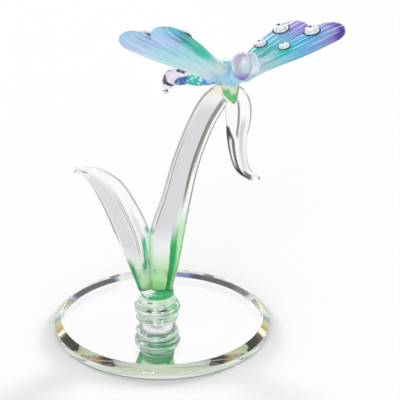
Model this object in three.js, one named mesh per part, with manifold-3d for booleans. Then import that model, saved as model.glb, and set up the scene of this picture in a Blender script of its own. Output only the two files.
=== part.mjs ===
// Flame-worked glass dragonfly resting on a bent blade of clear glass, with a side leaf and a
// drooping leaf, on a ringed glass foot glued to a round bevelled mirror.
// Millimetres, +Z up, the front faces -Y. The origin is the middle of the base underside.
// Left and right are as seen from the front, so right is +X.
import * as THREE from 'three';
import { mergeVertices } from 'three/addons/utils/BufferGeometryUtils.js';
import Module from 'manifold-3d';

const wasm = await Module();
wasm.setup();

// Clearance left where one piece gives way to a neighbour
const GAP = 0.3;

// Ways that the flat side of a drawn piece can face
const FRONT = new THREE.Vector3(0, -1, 0);
const UPWARD = new THREE.Vector3(0, 0, 1);
const SIDEWAYS = new THREE.Vector3(1, 0, 0);

// Facets round each turned piece and along or round each drawn one
const MIRROR_STEPS = 64;
const FOOT_STEPS = 28;
const CURVE_STEPS = 2;
const BALL_STEPS = 18;
const DROP_STEPS = 10;
const LOFT_SIDES = 14;
const BLADE_STEPS = 22;
const LEAF_STEPS = 20;
const SADDLE_STEPS = 8;
const SEGMENT_STEPS = 6;
const TAIL_STEPS = 18;
const WING_STEPS = 18;
const WING_SIDES = 12;

// Mirror base
const MIRROR_RADIUS = 38.1;
const BACKING_THICKNESS = 0.2;
const MIRROR_RIM_HEIGHT = 2.45;
const MIRROR_TOP = 4.45;
const BEVEL_WIDTH = 2.5;

// Foot: heights are above the mirror's top face
const FOOT_X = -1.7;
const FOOT_Y = -2.2;
const GLUE_THICKNESS = 0.15;
const GLUE_RADIUS = 6.3;
const LOWER_RING_TOP = 2.6;
const UPPER_RING_TOP = 7.4;
const NECK_TOP = 10.2;
const LOWER_RING = [[6.5, GLUE_THICKNESS], [7.4, 0.8], [7.2, 1.8], [6.4, LOWER_RING_TOP]];
const UPPER_RING = [[6.4, LOWER_RING_TOP], [7.6, 3.5], [8.0, 5.0], [7.5, 6.5], [6.5, UPPER_RING_TOP]];
const NECK = [[6.5, UPPER_RING_TOP], [6.05, 8.4], [5.9, NECK_TOP]];

// Clear blades and leaves. A station is x, y, z, half width on either side, half thickness.
const BLADE_SQUARENESS = 2.6;
const MAIN_BLADE = [
  [-0.5, -2.2, 12.5, 3.0, 3.0, 2.7],
  [0.9, -2.2, 27.0, 4.9, 4.9, 2.7],
  [2.4, -2.2, 38.8, 5.7, 5.7, 2.5],
  [5.5, -2.2, 52.3, 5.1, 5.1, 2.3],
  [8.8, -2.2, 66.0, 4.7, 4.7, 2.2],
  [13.8, -2.2, 79.8, 4.5, 4.5, 2.1],
  [18.3, -2.2, 88.0, 4.3, 4.3, 2.0],
  [22.6, -2.2, 92.4, 3.0, 3.0, 1.6],
];
const LEAF_FOLD = 1.1;
const SIDE_LEAF = [
  [-5.6, -2.2, 12.5, 1.9, 1.9, 2.2],
  [-7.9, -2.4, 27.0, 3.8, 3.8, 2.0],
  [-10.3, -2.8, 37.5, 5.4, 5.4, 1.7],
  [-14.7, -3.2, 49.5, 5.5, 5.5, 1.5],
  [-18.5, -3.6, 56.2, 4.8, 4.8, 1.4],
  [-23.4, -4.0, 60.9, 3.0, 3.0, 1.3],
  [-28.9, -4.3, 62.9, 0.8, 0.8, 0.8],
];
const LEAF_TIP_RADIUS = 1.3;
const LEAF_TIP = [-29.3, -4.3, 63.1];
const DROOPING_LEAF = [
  [22.9, -3.4, 92.6, 3.0, 3.0, 1.5],
  [26.0, -4.0, 88.2, 4.4, 4.4, 1.7],
  [26.4, -4.8, 82.0, 4.4, 4.4, 1.7],
  [25.9, -5.6, 76.4, 3.6, 3.6, 1.6],
  [26.2, -6.0, 70.6, 3.0, 3.0, 1.5],
  [27.6, -6.2, 65.0, 2.5, 2.5, 1.4],
  [30.6, -6.2, 61.6, 1.5, 1.5, 1.2],
  [34.2, -6.2, 60.2, 0.6, 0.6, 0.7],
];
const GREEN_SADDLE = [
  [23.4, -3.4, 95.0, 3.2, 3.2, 3.4],
  [23.9, -3.8, 92.0, 2.7, 2.7, 2.9],
  [24.6, -4.4, 89.5, 1.4, 1.4, 2.0],
  [24.9, -4.8, 87.9, 0.4, 0.4, 0.8],
];

// Dragonfly. Inside its group +X is its side, -Y its head end and +Z its back.
const BODY_PLACE = [23.1, -3.0, 98.5];
const HEADING = 40;
const NOSE_UP = 11.5;
const ROLL = 11.2;
const THORAX_SIZE = [4.6, 6.6, 4.8];
const HEAD_PLACE = [-0.5, -9.4, 3.4];
const HEAD_TURN = -22;
const EYE_SIZE = [3.3, 4.3, 4.5];
const EYE_OFFSET = 1.5;
const ABDOMEN = [
  [-0.6, 4.6, -1.9],
  [-1.1, 12.3, -3.6],
  [-1.7, 18.6, -4.2],
  [-3.0, 23.8, -5.5],
];
const ABDOMEN_RADII = [2.1, 2.1, 1.45];
const SEGMENT_BULGE = 0.25;
const TAIL_CURL = [
  [-1.9, 19.4, -3.8, 2.1, 2.1, 2.1],
  [-2.6, 21.4, -3.7, 2.8, 2.8, 2.8],
  [-3.7, 23.7, -4.0, 2.6, 2.6, 2.6],
  [-4.4, 25.7, -5.0, 2.2, 2.2, 2.2],
  [-4.4, 26.8, -6.9, 1.9, 1.9, 1.9],
  [-4.25, 27.1, -7.7, 1.2, 1.2, 1.2],
];
const TAIL_BALL = [-4.7, 28.1, -9.2];
const TAIL_BALL_RADIUS = 1.05;

// Wings: two pairs, each pair lying in one plane, a fore and a hind lobe meeting along a seam
const WING_ROOT = 2.3;
const WING_ROOT_RISE = -2.1;
const WING_SPREAD = 5.6;
const LOBE_APART = 1.95;
const WING_THICKNESS = 3.0;
const LOBE_ROOT_HALF_WIDTH = 2.3;
const LOBE_HALF_WIDTH = 5.9;
const LOBE_WIDEST = 0.72;
const LOBE_END_ROUND = 6.5;
const END_TAPER = 0.12;
const WING_PAIRS = [
  { name: 'right', yaw: -3.4, dihedral: 23.3, incidence: 14.8, foreSide: -1, fore: 44.5, hind: 37.5 },
  { name: 'left', yaw: 175.5, dihedral: 25.5, incidence: 26.5, foreSide: 1, fore: 35.8, hind: 40.6 },
];

// Flat-back crystals: a large one outboard and a small one inboard on each lobe. A place is the
// share of the lobe's length from its root, then millimetres sideways from the lobe's middle line.
const CRYSTAL_SIDES = 8;
const GIRDLE_HEIGHT = 0.3;
const CRYSTAL_HEIGHT = 0.42;
const TABLE_WIDTH = 0.5;
const CRYSTAL_SINK = 0.4;
const CRYSTAL_DIAMETERS = { large: 5.3, small: 3.9 };
const CRYSTAL_PLACES = {
  right_fore: { large: [0.76, 2.9], small: [0.48, 2.1] },
  right_hind: { large: [0.765, 2.6], small: [0.475, 2.1] },
  left_fore: { large: [0.72, 2.7], small: [0.46, 1.6] },
  left_hind: { large: [0.81, 2.4], small: [0.5, 1.6] },
};

const radians = THREE.MathUtils.degToRad;
const meshes = new Map();
const makers = new Map();

function paint(color, roughness, metalness = 0) {
  return new THREE.MeshStandardMaterial({ color, roughness, metalness });
}

// Adds a named mesh. make(grow) returns its shape with every face moved out by grow.
function add(parent, name, material, make) {
  const mesh = new THREE.Mesh(make(0), material);
  mesh.name = name;
  parent.add(mesh);
  meshes.set(name, mesh);
  makers.set(name, make);
  return mesh;
}

function solid(geometry) {
  const bare = geometry.clone();
  bare.deleteAttribute('normal');
  bare.deleteAttribute('uv');
  const welded = mergeVertices(bare, 1e-4);
  return new wasm.Manifold(new wasm.Mesh({
    numProp: 3,
    vertProperties: new Float32Array(welded.attributes.position.array),
    triVerts: new Uint32Array(welded.index.array),
  }));
}

function shell(manifold) {
  const mesh = manifold.getMesh();
  const geometry = new THREE.BufferGeometry();
  geometry.setAttribute('position', new THREE.BufferAttribute(mesh.vertProperties, 3));
  geometry.setIndex(new THREE.BufferAttribute(mesh.triVerts, 1));
  return geometry;
}

// Cuts the named piece back so that it clears each neighbour by GAP.
function giveWay(name, ...neighbours) {
  const mesh = meshes.get(name);
  const toLocal = mesh.matrixWorld.clone().invert();
  let body = solid(mesh.geometry);
  for (const neighbour of neighbours) {
    const tool = makers.get(neighbour)(GAP);
    tool.applyMatrix4(meshes.get(neighbour).matrixWorld);
    tool.applyMatrix4(toLocal);
    body = body.subtract(solid(tool));
  }
  mesh.geometry = shell(body);
}

// Signed power that squares off a circle's sine or cosine.
function squared(value, power) {
  return Math.sign(value) * Math.abs(value) ** (2 / power);
}

// A closed loft along a smooth spine. Its flat side faces along face, and fold bends the
// section into a shallow V.
function loft(stations, { face, steps, sides = LOFT_SIDES, squareness = 2, fold = 0, grow = 0 }) {
  const spine = new THREE.CatmullRomCurve3(stations.map(([x, y, z]) => new THREE.Vector3(x, y, z)));
  const sizes = new THREE.CatmullRomCurve3(stations.map((s) => new THREE.Vector3(s[3], s[4], s[5])));
  const positions = [];
  const indices = [];
  for (let step = 0; step <= steps; step++) {
    const t = step / steps;
    const tangent = spine.getTangent(t);
    const endReach = step === 0 ? -grow : step === steps ? grow : 0;
    const centre = spine.getPoint(t).addScaledVector(tangent, endReach);
    const chord = new THREE.Vector3().crossVectors(face, tangent).normalize();
    const normal = new THREE.Vector3().crossVectors(tangent, chord);
    const [low, high, thick] = sizes.getPoint(t).toArray().map((size) => size + grow);
    for (let side = 0; side < sides; side++) {
      const angle = (2 * Math.PI * side) / sides;
      const across = squared(Math.cos(angle), squareness);
      const through = squared(Math.sin(angle), squareness);
      const width = across < 0 ? low : high;
      const lift = through * thick - fold * Math.abs(across) * Math.min(1, width / thick / 2);
      const point = centre.clone().addScaledVector(chord, across * width).addScaledVector(normal, lift);
      positions.push(...point.toArray());
    }
  }
  const ringStart = (step) => step * sides;
  for (let step = 0; step < steps; step++) {
    for (let side = 0; side < sides; side++) {
      const next = (side + 1) % sides;
      const a = ringStart(step) + side;
      const b = ringStart(step) + next;
      const c = ringStart(step + 1) + next;
      const d = ringStart(step + 1) + side;
      indices.push(a, b, c, a, c, d);
    }
  }
  for (let side = 1; side < sides - 1; side++) {
    indices.push(0, side + 1, side);
    indices.push(ringStart(steps), ringStart(steps) + side, ringStart(steps) + side + 1);
  }
  const geometry = new THREE.BufferGeometry();
  geometry.setAttribute('position', new THREE.Float32BufferAttribute(positions, 3));
  geometry.setIndex(indices);
  return geometry;
}

// A solid of revolution about Z from the rim points of a profile, bottom to top.
function turned(rim, steps, { curved = false, grow = 0 } = {}) {
  let points = rim.map(([radius, height]) => new THREE.Vector2(radius + grow, height));
  points[0].y -= grow;
  points[points.length - 1].y += grow;
  if (curved) {
    points = new THREE.SplineCurve(points).getPoints(CURVE_STEPS * (points.length - 1));
  }
  const axis = [new THREE.Vector2(0, points[0].y), new THREE.Vector2(0, points[points.length - 1].y)];
  const geometry = new THREE.LatheGeometry([axis[0], ...points, axis[1]], steps);
  return geometry.rotateX(Math.PI / 2);
}

function ball(sizeX, sizeY, sizeZ, grow, steps = BALL_STEPS) {
  const geometry = new THREE.SphereGeometry(1, steps, steps / 2);
  return geometry.scale(sizeX + grow, sizeY + grow, sizeZ + grow);
}

const clearGlass = paint('#dfe5e6', 0.05);
const greenGlass = paint('#58b86a', 0.08);
const skyGlass = paint('#a9d3ea', 0.12);
const figurine = new THREE.Group();

// Mirror base: painted silvering, then the bevelled plate
add(figurine, 'mirror_backing', paint('#4a4d50', 0.5), () => turned(
  [[MIRROR_RADIUS, 0], [MIRROR_RADIUS, BACKING_THICKNESS]],
  MIRROR_STEPS,
));
add(figurine, 'mirror_glass', paint('#eef1f4', 0.03, 0.6), () => turned(
  [
    [MIRROR_RADIUS, BACKING_THICKNESS],
    [MIRROR_RADIUS, MIRROR_RIM_HEIGHT],
    [MIRROR_RADIUS - BEVEL_WIDTH, MIRROR_TOP],
  ],
  MIRROR_STEPS,
));

// Foot: glue film, two rounded rings and a neck
const foot = new THREE.Group();
foot.position.set(FOOT_X, FOOT_Y, MIRROR_TOP);
figurine.add(foot);
add(foot, 'foot_glue', paint('#e6e8e4', 0.3), () => turned(
  [[GLUE_RADIUS, 0], [GLUE_RADIUS, GLUE_THICKNESS]],
  FOOT_STEPS,
));
for (const [name, rim] of [['lower', LOWER_RING], ['upper', UPPER_RING]]) {
  add(foot, `foot_ring_${name}`, clearGlass, (grow) => turned(rim, FOOT_STEPS, { curved: true, grow }));
}
add(foot, 'foot_neck', greenGlass, (grow) => turned(NECK, FOOT_STEPS, { curved: true, grow }));

// Blades and leaves
const bladeForm = { face: FRONT, steps: BLADE_STEPS, squareness: BLADE_SQUARENESS };
const leafForm = { face: FRONT, steps: LEAF_STEPS, fold: LEAF_FOLD };
add(figurine, 'main_blade', clearGlass, (grow) => loft(MAIN_BLADE, { ...bladeForm, grow }));
add(figurine, 'side_leaf', clearGlass, (grow) => loft(SIDE_LEAF, { ...leafForm, grow }));
add(figurine, 'drooping_leaf', clearGlass, (grow) => loft(DROOPING_LEAF, { ...leafForm, grow }));
add(figurine, 'green_saddle', greenGlass, (grow) => loft(GREEN_SADDLE, {
  face: FRONT,
  steps: SADDLE_STEPS,
  grow,
}));
const leafTip = add(figurine, 'side_leaf_tip', clearGlass, (grow) => ball(
  LEAF_TIP_RADIUS,
  LEAF_TIP_RADIUS,
  LEAF_TIP_RADIUS,
  grow,
  DROP_STEPS,
));
leafTip.position.set(...LEAF_TIP);

// Dragonfly body
const dragonfly = new THREE.Group();
dragonfly.position.set(...BODY_PLACE);
dragonfly.rotation.set(radians(-NOSE_UP), radians(ROLL), radians(HEADING), 'ZXY');
figurine.add(dragonfly);
add(dragonfly, 'thorax', skyGlass, (grow) => ball(...THORAX_SIZE, grow));

// Two eye lobes pressed together make the head
const head = new THREE.Group();
head.position.set(...HEAD_PLACE);
head.rotation.z = radians(HEAD_TURN);
dragonfly.add(head);
for (const [name, side] of [['right', 1], ['left', -1]]) {
  add(head, `eye_${name}`, paint('#b9bfe8', 0.08), (grow) => {
    const lobe = ball(...EYE_SIZE, grow).translate(side * EYE_OFFSET, 0, 0);
    return shell(solid(lobe).trimByPlane([side, 0, 0], GAP / 2));
  });
}

// Abdomen: bulging coloured segments along one bent line
const abdomenLine = new THREE.CatmullRomCurve3(ABDOMEN.map(([x, y, z]) => new THREE.Vector3(x, y, z)));
const abdomenColors = ['#0e86d8', '#00a99a', '#1f6fc0'];
const segmentStep = 1 / ABDOMEN_RADII.length;
const segmentGap = GAP / abdomenLine.getLength();
for (let segment = 0; segment < ABDOMEN_RADII.length; segment++) {
  const start = segment * segmentStep + segmentGap / 2;
  const end = (segment + 1) * segmentStep - segmentGap / 2;
  const stations = [start, (start + end) / 2, end].map((t, place) => {
    const radius = ABDOMEN_RADII[segment] - (place === 1 ? 0 : SEGMENT_BULGE);
    return [...abdomenLine.getPoint(t).toArray(), radius, radius, radius];
  });
  const material = paint(abdomenColors[segment], 0.1);
  add(dragonfly, `abdomen_${segment + 1}`, material, (grow) => loft(stations, {
    face: UPWARD,
    steps: SEGMENT_STEPS,
    grow,
  }));
}
const tailGlass = paint('#d9cfea', 0.06);
add(dragonfly, 'tail_curl', tailGlass, (grow) => loft(TAIL_CURL, {
  face: SIDEWAYS,
  steps: TAIL_STEPS,
  grow,
}));
const tailBall = add(dragonfly, 'tail_ball', tailGlass, (grow) => ball(
  TAIL_BALL_RADIUS,
  TAIL_BALL_RADIUS,
  TAIL_BALL_RADIUS,
  grow,
  DROP_STEPS,
));
tailBall.position.set(...TAIL_BALL);

// One lobe along +X: it widens from the root, and a quarter ellipse rounds its end off. Its inner
// half stops at the seam with the other lobe of the pair. Stations crowd towards the end.
function lobeStations(length, innerSide) {
  const slope = Math.tan(radians(WING_SPREAD));
  const stations = [];
  for (let step = 0; step <= WING_STEPS; step++) {
    const x = length * Math.sin((0.5 * Math.PI * step) / WING_STEPS);
    const growth = THREE.MathUtils.smoothstep(x, 0, LOBE_WIDEST * length);
    const paddle = THREE.MathUtils.lerp(LOBE_ROOT_HALF_WIDTH, LOBE_HALF_WIDTH, growth);
    const intoEnd = Math.max(0, (x - length + LOBE_END_ROUND) / LOBE_END_ROUND);
    const rounding = Math.max(END_TAPER, Math.sqrt(1 - intoEnd ** 2));
    const outer = paddle * rounding;
    const inner = Math.min(outer, LOBE_APART + x * slope - GAP / 2);
    const thick = 0.5 * WING_THICKNESS * Math.sqrt(rounding);
    stations.push(innerSide > 0 ? [x, 0, 0, outer, inner, thick] : [x, 0, 0, inner, outer, thick]);
  }
  return stations;
}

// Height and sideways tilt of a lobe's top at a place, from its elliptical section there.
function lobeTop(x, sideways, stations) {
  const [, , , low, high, thick] = stations.find((station) => station[0] >= x);
  const across = sideways / (sideways < 0 ? low : high);
  const rise = thick * Math.sqrt(1 - across ** 2);
  return { rise, tilt: -Math.atan((thick * across) / (sideways / across) / Math.sqrt(1 - across ** 2)) };
}

function crystalShape(diameter, grow) {
  const radius = diameter / 2;
  return turned(
    [[radius, 0], [radius, GIRDLE_HEIGHT], [radius * TABLE_WIDTH, diameter * CRYSTAL_HEIGHT]],
    CRYSTAL_SIDES,
    { grow },
  );
}

const wingColor = paint('#5ca9e0', 0.12);
const crystalColor = paint('#f4f4f6', 0.03, 0.2);
for (const pair of WING_PAIRS) {
  const plane = new THREE.Group();
  plane.rotation.set(radians(pair.incidence), radians(-pair.dihedral), radians(pair.yaw), 'ZYX');
  plane.position.z = WING_ROOT_RISE;
  dragonfly.add(plane);
  for (const [lobe, length, side] of [
    ['fore', pair.fore, pair.foreSide],
    ['hind', pair.hind, -pair.foreSide],
  ]) {
    const place = new THREE.Group();
    place.position.set(WING_ROOT, side * LOBE_APART, 0);
    place.rotation.z = radians(side * WING_SPREAD);
    plane.add(place);
    const stations = lobeStations(length, -side);
    add(place, `wing_${pair.name}_${lobe}`, wingColor, (grow) => loft(stations, {
      face: UPWARD,
      steps: WING_STEPS,
      sides: WING_SIDES,
      grow,
    }));
    for (const [size, [span, sideways]] of Object.entries(CRYSTAL_PLACES[`${pair.name}_${lobe}`])) {
      const name = `crystal_${pair.name}_${lobe}_${size}`;
      const gem = add(place, name, crystalColor, (grow) => crystalShape(CRYSTAL_DIAMETERS[size], grow));
      const { rise, tilt } = lobeTop(span * length, sideways, stations);
      gem.rotation.x = tilt;
      gem.position.set(span * length, sideways, rise);
      gem.translateZ(-CRYSTAL_SINK);
    }
  }
}

// Where pieces meet, the second-named pieces keep their shape
figurine.updateMatrixWorld(true);
giveWay('green_saddle', 'thorax');
giveWay('main_blade', 'foot_neck', 'green_saddle', 'thorax');
giveWay('side_leaf', 'foot_neck', 'main_blade', 'side_leaf_tip');
giveWay('drooping_leaf', 'main_blade', 'green_saddle', 'thorax');
for (const name of ['eye_right', 'eye_left']) {
  giveWay(name, 'thorax');
}
giveWay('abdomen_1', 'thorax');
giveWay('abdomen_2', 'abdomen_1');
giveWay('abdomen_3', 'abdomen_2');
giveWay('tail_curl', 'abdomen_3', 'tail_ball');
for (const pair of WING_PAIRS) {
  for (const lobe of ['fore', 'hind']) {
    const gems = Object.keys(CRYSTAL_DIAMETERS).map((size) => `crystal_${pair.name}_${lobe}_${size}`);
    giveWay(`wing_${pair.name}_${lobe}`, 'thorax', 'eye_right', 'eye_left', 'abdomen_1', ...gems);
  }
}

export default figurine;
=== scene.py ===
"""A flame-worked glass dragonfly on a clear blade with leaves, on a round bevelled mirror.

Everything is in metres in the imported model's frame: +Z up, the front faces -Y, the origin is the middle
of the base underside. Left and right are as seen from the front. Each piece is a surface worked out with
numpy, and its materials read where a point lies along, across and through the piece.
"""

import bpy
import numpy as np
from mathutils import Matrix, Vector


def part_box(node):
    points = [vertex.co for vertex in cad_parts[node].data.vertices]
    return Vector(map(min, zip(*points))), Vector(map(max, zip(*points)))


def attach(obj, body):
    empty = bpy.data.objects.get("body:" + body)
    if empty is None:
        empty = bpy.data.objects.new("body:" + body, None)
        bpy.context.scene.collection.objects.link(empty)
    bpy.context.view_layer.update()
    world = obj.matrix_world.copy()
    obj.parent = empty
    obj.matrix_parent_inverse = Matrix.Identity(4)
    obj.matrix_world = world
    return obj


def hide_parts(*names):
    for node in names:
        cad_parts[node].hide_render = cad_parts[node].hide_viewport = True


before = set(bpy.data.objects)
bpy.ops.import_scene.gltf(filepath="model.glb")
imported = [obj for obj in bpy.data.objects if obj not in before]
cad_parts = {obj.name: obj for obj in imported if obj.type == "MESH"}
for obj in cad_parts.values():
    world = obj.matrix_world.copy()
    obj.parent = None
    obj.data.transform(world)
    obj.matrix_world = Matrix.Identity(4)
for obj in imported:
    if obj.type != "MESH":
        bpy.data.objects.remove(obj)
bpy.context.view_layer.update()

MM = 0.001
FRONT = np.array([0.0, -1.0, 0.0])
UPWARD = np.array([0.0, 0.0, 1.0])
SIDEWAYS = np.array([1.0, 0.0, 0.0])

# Camera: the photograph's place, tilt and lens
CAMERA_PLACE = (13.4 * MM, -746.2 * MM, 409.4 * MM)
CAMERA_TILT = 64.26
CAMERA_LENS = 215.45
SENSOR_WIDTH = 36.0

# Mirror base
MIRROR_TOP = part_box("mirror_glass")[1].z
MIRROR_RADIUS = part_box("mirror_glass")[1].x
BACKING_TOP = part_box("mirror_backing")[1].z
WALL_TOP = 2.45 * MM
BEVEL_WIDTH = 2.5 * MM
ARRIS = 0.12 * MM
SILVER_INSET = 0.02 * MM
HUB_RADIUS = 0.05 * MM

# Foot, with heights above the mirror's top face
FOOT_CENTRE = np.array([-1.7, -2.2, 0.0]) * MM
FOOT_RINGS = MM * np.array([
    [6.4, 0.15],
    [7.2, 0.45],
    [7.45, 1.1],
    [7.2, 2.0],
    [6.75, 2.6],
    [7.3, 3.2],
    [8.0, 4.6],
    [7.9, 5.6],
    [7.2, 6.7],
    [6.5, 7.4],
])
NECK = MM * np.array([
    [6.4, 7.42],
    [6.6, 7.9],
    [6.2, 8.6],
    [6.1, 9.4],
    [5.9, 10.4],
    [5.9, 11.4],
    [5.6, 12.2],
    [4.9, 12.7],
])
GLUE_RADIUS = 6.3 * MM
GLUE_THICKNESS = 0.15 * MM
FILM_CLEARANCE = 0.01 * MM
WOUND_PITCH = 1.6 * MM
WOUND_DEPTH = 0.13 * MM

# Blades and leaves: x, y, z, half width, half thickness along each one
MAIN_BLADE = MM * np.array([
    [-0.3, -2.2, 16.1, 3.8, 3.0],
    [0.9, -2.2, 27.0, 5.3, 2.7],
    [2.2, -2.2, 38.8, 6.0, 2.5],
    [5.5, -2.2, 52.3, 5.1, 2.3],
    [8.8, -2.2, 66.0, 4.7, 2.2],
    [13.8, -2.2, 79.8, 4.5, 2.1],
    [18.3, -2.2, 88.0, 4.3, 2.0],
    [22.8, -2.4, 93.2, 2.6, 1.6],
])
SIDE_LEAF = MM * np.array([
    [-5.5, -2.2, 16.1, 2.8, 2.3],
    [-7.7, -2.4, 27.0, 4.3, 2.0],
    [-9.9, -2.8, 37.5, 5.9, 1.7],
    [-14.7, -3.2, 49.5, 5.5, 1.5],
    [-18.5, -3.6, 56.2, 4.8, 1.4],
    [-23.4, -4.0, 60.9, 3.0, 1.3],
    [-29.0, -4.3, 62.9, 0.8, 0.8],
])
SIDE_LEAF_TIP = MM * np.array([-28.8, -4.3, 63.1])
SIDE_LEAF_DROP = 1.3 * MM
DROOPING_LEAF = MM * np.array([
    [22.9, -3.4, 92.8, 3.0, 1.5],
    [26.0, -4.0, 88.2, 4.4, 1.7],
    [26.4, -4.8, 82.0, 4.4, 1.7],
    [25.9, -5.6, 76.4, 3.6, 1.6],
    [26.2, -6.0, 70.6, 3.0, 1.5],
    [27.6, -6.2, 65.0, 2.5, 1.4],
    [30.6, -6.2, 61.6, 1.5, 1.2],
    [33.9, -6.2, 60.3, 1.15, 1.15],
])
GREEN_SADDLE = MM * np.array([
    [23.4, -3.4, 95.4, 3.3, 3.4],
    [23.9, -3.8, 92.0, 2.7, 2.9],
    [24.6, -4.4, 89.5, 1.4, 2.0],
    [24.9, -4.8, 87.9, 0.4, 0.8],
])
LEAF_FOLD = 1.1 * MM
LEAF_TIP_ROUND = 0.06
BUD_TIP_ROUND = 0.2
CREASE_SOFTNESS = 0.12
BLADE_SQUARENESS = 2.6

# Green in the foot, the blade and the side leaf by height above the floor: where a tone starts and is full,
# or the middle, half and soft edge of a band. The streak leans across the blade by so much for each metre.
RING_GREEN = (5.0 * MM, 11.0 * MM)
COLLAR_BAND = (16.0 * MM, 1.2 * MM, 0.4 * MM)
NOTCH = (39.4 * MM, 0.5 * MM, 1.1 * MM)
BLADE_ROOT = (34.0 * MM, 18.0 * MM)
BLADE_WEB = (40.0 * MM, 34.0 * MM)
BLADE_EDGE = (50.0 * MM, 38.0 * MM)
BLADE_STREAK = (43.0 * MM, 33.0 * MM)
BLADE_STREAK_LEAN = -7.0
LEAF_ROOT = (31.0 * MM, 16.0 * MM)
LEAF_EDGE = (29.0 * MM, 24.0 * MM)
LEAF_SEAM = (41.0 * MM, 36.0 * MM)
LEAF_THREAD = (31.0 * MM, 4.0 * MM, 3.0 * MM)
LEAF_KNOT = (26.0 * MM, 0.8 * MM, 1.0 * MM)

# Clear glass: its tone, how clear its green root is, over what heights that clears, how strong its painted
# edge shade is
CLEAR_TONE = "#FBFCFC"
ROOT_CLEARNESS = 0.45
CLEAR_RISE = (15.0 * MM, 36.0 * MM)
EDGE_SHADE_STRENGTH = 0.85

# Dragonfly: its own frame has +X to its side, -Y towards its head and +Z out of its back
BODY_PLACE = MM * np.array([23.1, -3.0, 98.5])
HEADING = 40.0
NOSE_UP = 11.5
ROLL = 11.2
THORAX_SIZE = MM * np.array([4.6, 6.6, 4.8])
HEAD_PLACE = MM * np.array([-0.5, -9.4, 3.4])
HEAD_TURN = -13.0
EYE_SIZES = {"right": MM * np.array([3.2, 4.2, 4.1]), "left": MM * np.array([3.4, 4.4, 4.7])}
EYE_RISES = {"right": 0.35 * MM, "left": -0.1 * MM}
EYE_PALENESS = {"right": 0.2, "left": 0.0}
EYE_OFFSET = 1.5 * MM
EYE_CREASE = 0.25 * MM
EYE_SEAM_START = -1.0
ABDOMEN = MM * np.array([[-0.6, 4.6, -1.9], [-1.1, 12.3, -3.6], [-1.7, 18.6, -4.2], [-3.0, 23.8, -5.5]])
ABDOMEN_RADII = (2.1 * MM, 2.1 * MM, 1.45 * MM)
BEAD_WAIST = 0.3 * MM
TAIL_CURL = MM * np.array([
    [-1.9, 19.4, -3.8, 2.1, 2.1],
    [-2.6, 21.4, -3.6, 2.8, 2.8],
    [-3.7, 23.8, -3.5, 2.9, 2.9],
    [-4.4, 25.9, -4.4, 2.6, 2.6],
    [-4.5, 26.9, -6.5, 2.1, 2.1],
    [-4.3, 27.2, -8.0, 1.7, 1.7],
])
TAIL_CURL_ENDS = (0.12, 0.16)
TAIL_BALL = MM * np.array([-4.7, 28.1, -9.2])
TAIL_BALL_RADIUS = 1.05 * MM

# Wings: two pairs, each a fore and a hind lobe in one plane
WING_ROOT = 2.3 * MM
WING_ROOT_RISE = -2.1 * MM
WING_SPREAD = 5.6
LOBE_APART = 1.95 * MM
WING_HALF_THICKNESS = 1.5 * MM
LOBE_ROOT_HALF_WIDTH = 2.3 * MM
LOBE_HALF_WIDTH = 5.9 * MM
LOBE_WIDEST = 0.72
LOBE_END_ROUND = 6.5 * MM
LOBE_RIM = 3.2
SEAM_BLUNTNESS = 4
SEAM_OVERLAP = 0.15 * MM
ROOT_REACH = 10.0 * MM
ROOT_FLARE = 0.8 * MM
ROOT_SWELL = 0.7 * MM
ROOT_ROUND = 3.5 * MM
RIDGES = ((5, 0.1 * MM), (9, 0.06 * MM), (17, 0.02 * MM))
RIDGE_PHASE = 1.7
RIDGE_START = (0.02, 0.2)
WING_PAIRS = {
    "right": {"yaw": -3.4, "dihedral": 23.3, "incidence": 14.8, "fore_side": -1, "fore": 44.5, "hind": 37.5},
    "left": {"yaw": 175.5, "dihedral": 25.5, "incidence": 26.5, "fore_side": 1, "fore": 35.8, "hind": 40.6},
}

# Flat-back crystals: share of the lobe's length, then distance sideways from its middle line
CRYSTAL_DIAMETERS = {"large": 5.3 * MM, "small": 3.9 * MM}
CRYSTAL_PLACES = {
    "right_fore": {"large": (0.76, 2.9 * MM), "small": (0.48, 2.1 * MM)},
    "right_hind": {"large": (0.765, 2.6 * MM), "small": (0.475, 2.1 * MM)},
    "left_fore": {"large": (0.72, 2.7 * MM), "small": (0.46, 1.6 * MM)},
    "left_hind": {"large": (0.81, 2.4 * MM), "small": (0.5, 1.6 * MM)},
}
CUP_DEPTH = 0.5 * MM
CUP_RIM = 1.18
FOIL_WIDTH = 0.97
# Table slivers painted near black: painted reflections of dark surroundings
PAINTED_DARK_SLIVERS = [1, 2, 3, 14]
CRYSTAL_LIFT = 0.1 * MM
CRYSTAL_HEIGHT = 0.28
GIRDLE_HEIGHT = 0.2 * MM
TABLE_WIDTH = 0.66
TABLE_RISE = 0.06 * MM
STEP_WIDTH = 0.88
STEP_HEIGHT = 0.8

# Fineness of the surfaces
ROUND_SIDES = 160
SWEEP_ROWS = 140
SWEEP_SIDES = 72
ORB_ROWS = 48
ORB_SIDES = 72
LOBE_ROWS = 170
LOBE_SIDES = 96
RING_ROWS = 90
COLLAR_ROWS = 40
BEAD_ROWS = 60
BEAD_STATIONS = 40
CRYSTAL_SIDES = 16

# Squares of the shares of their width that swept pieces and wing lobes keep at their rounded ends
SWEEP_TIP = 1e-6
LOBE_TIP = 1e-5


def linear(code):
    """A colour written as #rrggbb, as linear red, green, blue and alpha."""
    parts = np.array([int(code[i:i + 2], 16) for i in (1, 3, 5)]) / 255
    parts = np.where(parts <= 0.04045, parts / 12.92, ((parts + 0.055) / 1.055) ** 2.4)
    return (*parts.tolist(), 1.0)


def turn(axis, degrees):
    """Rotation matrix about x, y or z by the right-hand rule."""
    c, s = np.cos(np.radians(degrees)), np.sin(np.radians(degrees))
    return np.array({
        "x": [[1, 0, 0], [0, c, -s], [0, s, c]],
        "y": [[c, 0, s], [0, 1, 0], [-s, 0, c]],
        "z": [[c, -s, 0], [s, c, 0], [0, 0, 1]],
    }[axis])


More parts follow.
